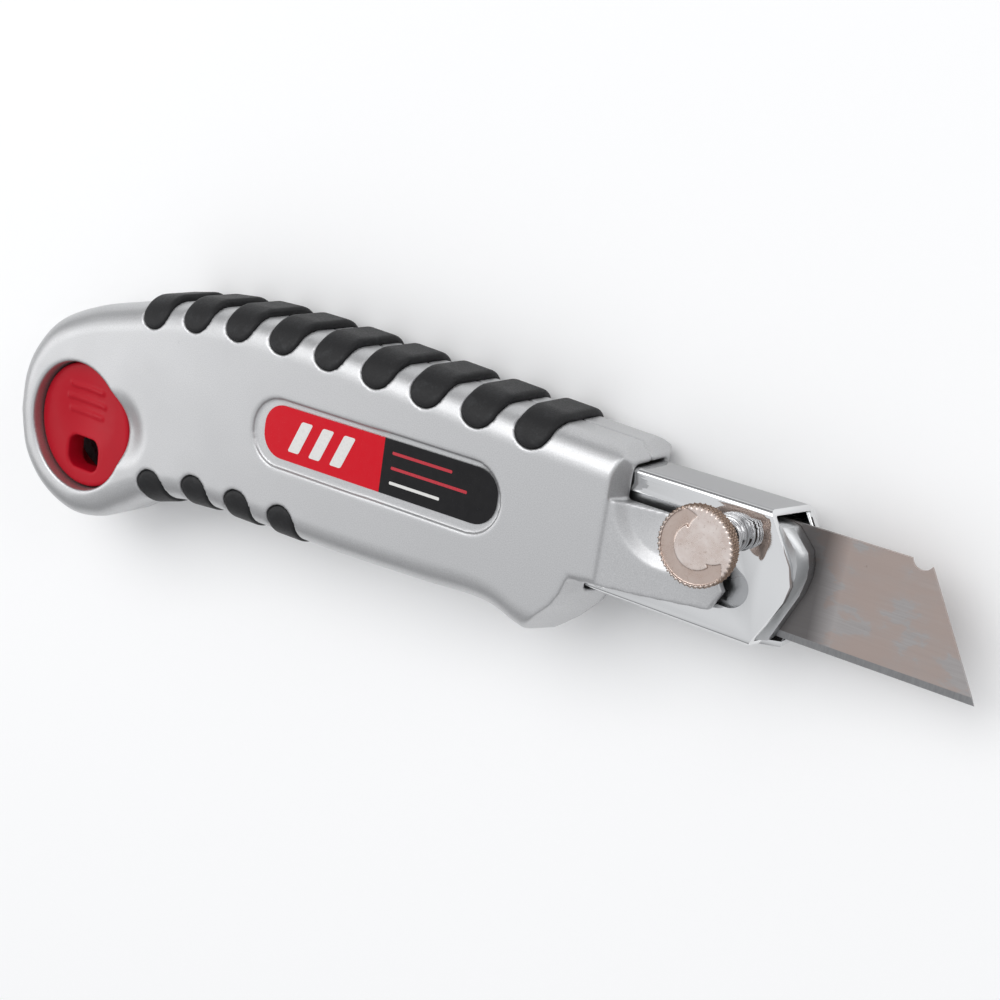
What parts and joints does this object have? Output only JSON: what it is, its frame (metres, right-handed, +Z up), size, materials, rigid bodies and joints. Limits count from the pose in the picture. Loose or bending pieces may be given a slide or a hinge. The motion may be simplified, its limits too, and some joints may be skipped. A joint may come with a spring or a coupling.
{
  "type": "utility knife",
  "caption": "Heavy-duty utility knife: silver cast handle with rubber grip pads, chrome sliding nose, knurled lock knob, red tail button and trapezoid blade.",
  "frame": {"origin": "Under the middle of the whole knife, on the plane its right side rests on.", "axes": "+X points to the blade tip, +Y to the spine with the spine grips, +Z up out of the left side with the label, lock knob and button."},
  "size_m": [0.2038, 0.0534, 0.0273],
  "materials": {
    "silver_paint": "satin silver paint over a zinc casting",
    "grip_rubber": "matt charcoal moulded rubber",
    "sticker": "gloss printed film, red and black",
    "red_plastic": "semi-gloss moulded red plastic",
    "chrome": "bright chrome plate",
    "cast_zinc": "bare die-cast zinc",
    "blade_steel": "ground carbon steel, lightly oxidised",
    "plate_steel": "zinc-plated sheet",
    "tarnished_nickel": "satin nickel, tarnished warm",
    "screw_steel": "zinc-plated steel",
    "spring_steel": "bright spring wire"
  },
  "bodies": {
    "handle": {"left_housing": "silver_paint", "right_housing": "silver_paint", "housing_screws": "screw_steel", "spine_grips": "grip_rubber", "belly_grips": "grip_rubber", "label_sticker": "sticker", "latch_pin": "spring_steel", "button_spring": "spring_steel"},
    "button": {"release_button": "red_plastic"},
    "lever": {"latch_lever": "plate_steel"},
    "nose": {"blade_sleeve": "chrome", "sleeve_liner": "chrome", "blade_guide": "cast_zinc", "guide_rivets": "chrome", "spare_blades": "blade_steel", "magazine_follower": "plate_steel", "magazine_spring": "spring_steel", "spring_washer": "screw_steel", "knob_spring": "spring_steel"},
    "blade": {"active_blade": "blade_steel", "blade_carrier": "cast_zinc"},
    "screw": {"lock_screw": "screw_steel"},
    "knob": {"lock_knob": "tarnished_nickel"}
  },
  "joints": [
    {"name": "nose_slide", "type": "slide", "parent": "handle", "child": "nose", "axis": [1, 0, 0], "range_m": [-0.0055, 0]},
    {"name": "blade_slide", "type": "slide", "parent": "nose", "child": "blade", "axis": [1, 0, 0], "range_m": [-0.0295, 0]},
    {"name": "button_press", "type": "slide", "parent": "handle", "child": "button", "axis": [0, 0, -1], "range_m": [0, 0.0025], "stiffness_N_per_m": 600, "springref_m": -0.002, "deforming": ["button_spring"]},
    {"name": "lever_swing", "type": "hinge", "parent": "handle", "child": "lever", "pos_m": [-0.05305, 0.0013, 0.008], "axis": [0, -1, 0], "range_deg": [0, 9]},
    {"name": "screw_feed", "type": "slide", "parent": "nose", "child": "screw", "axis": [0, 0, -1], "range_m": [0, 0.0021], "deforming": ["knob_spring"]},
    {"name": "knob_turn", "type": "hinge", "parent": "screw", "child": "knob", "pos_m": [0.06075, 0.0132, 0.026], "axis": [0, 0, -1], "range_deg": [0, 1080]}
  ],
  "couplings": [
    {"joint": "lever_swing", "follows": "button_press", "rad_per_m": 62.5},
    {"joint": "knob_turn", "follows": "screw_feed", "rad_per_m": 8975.9}
  ]
}
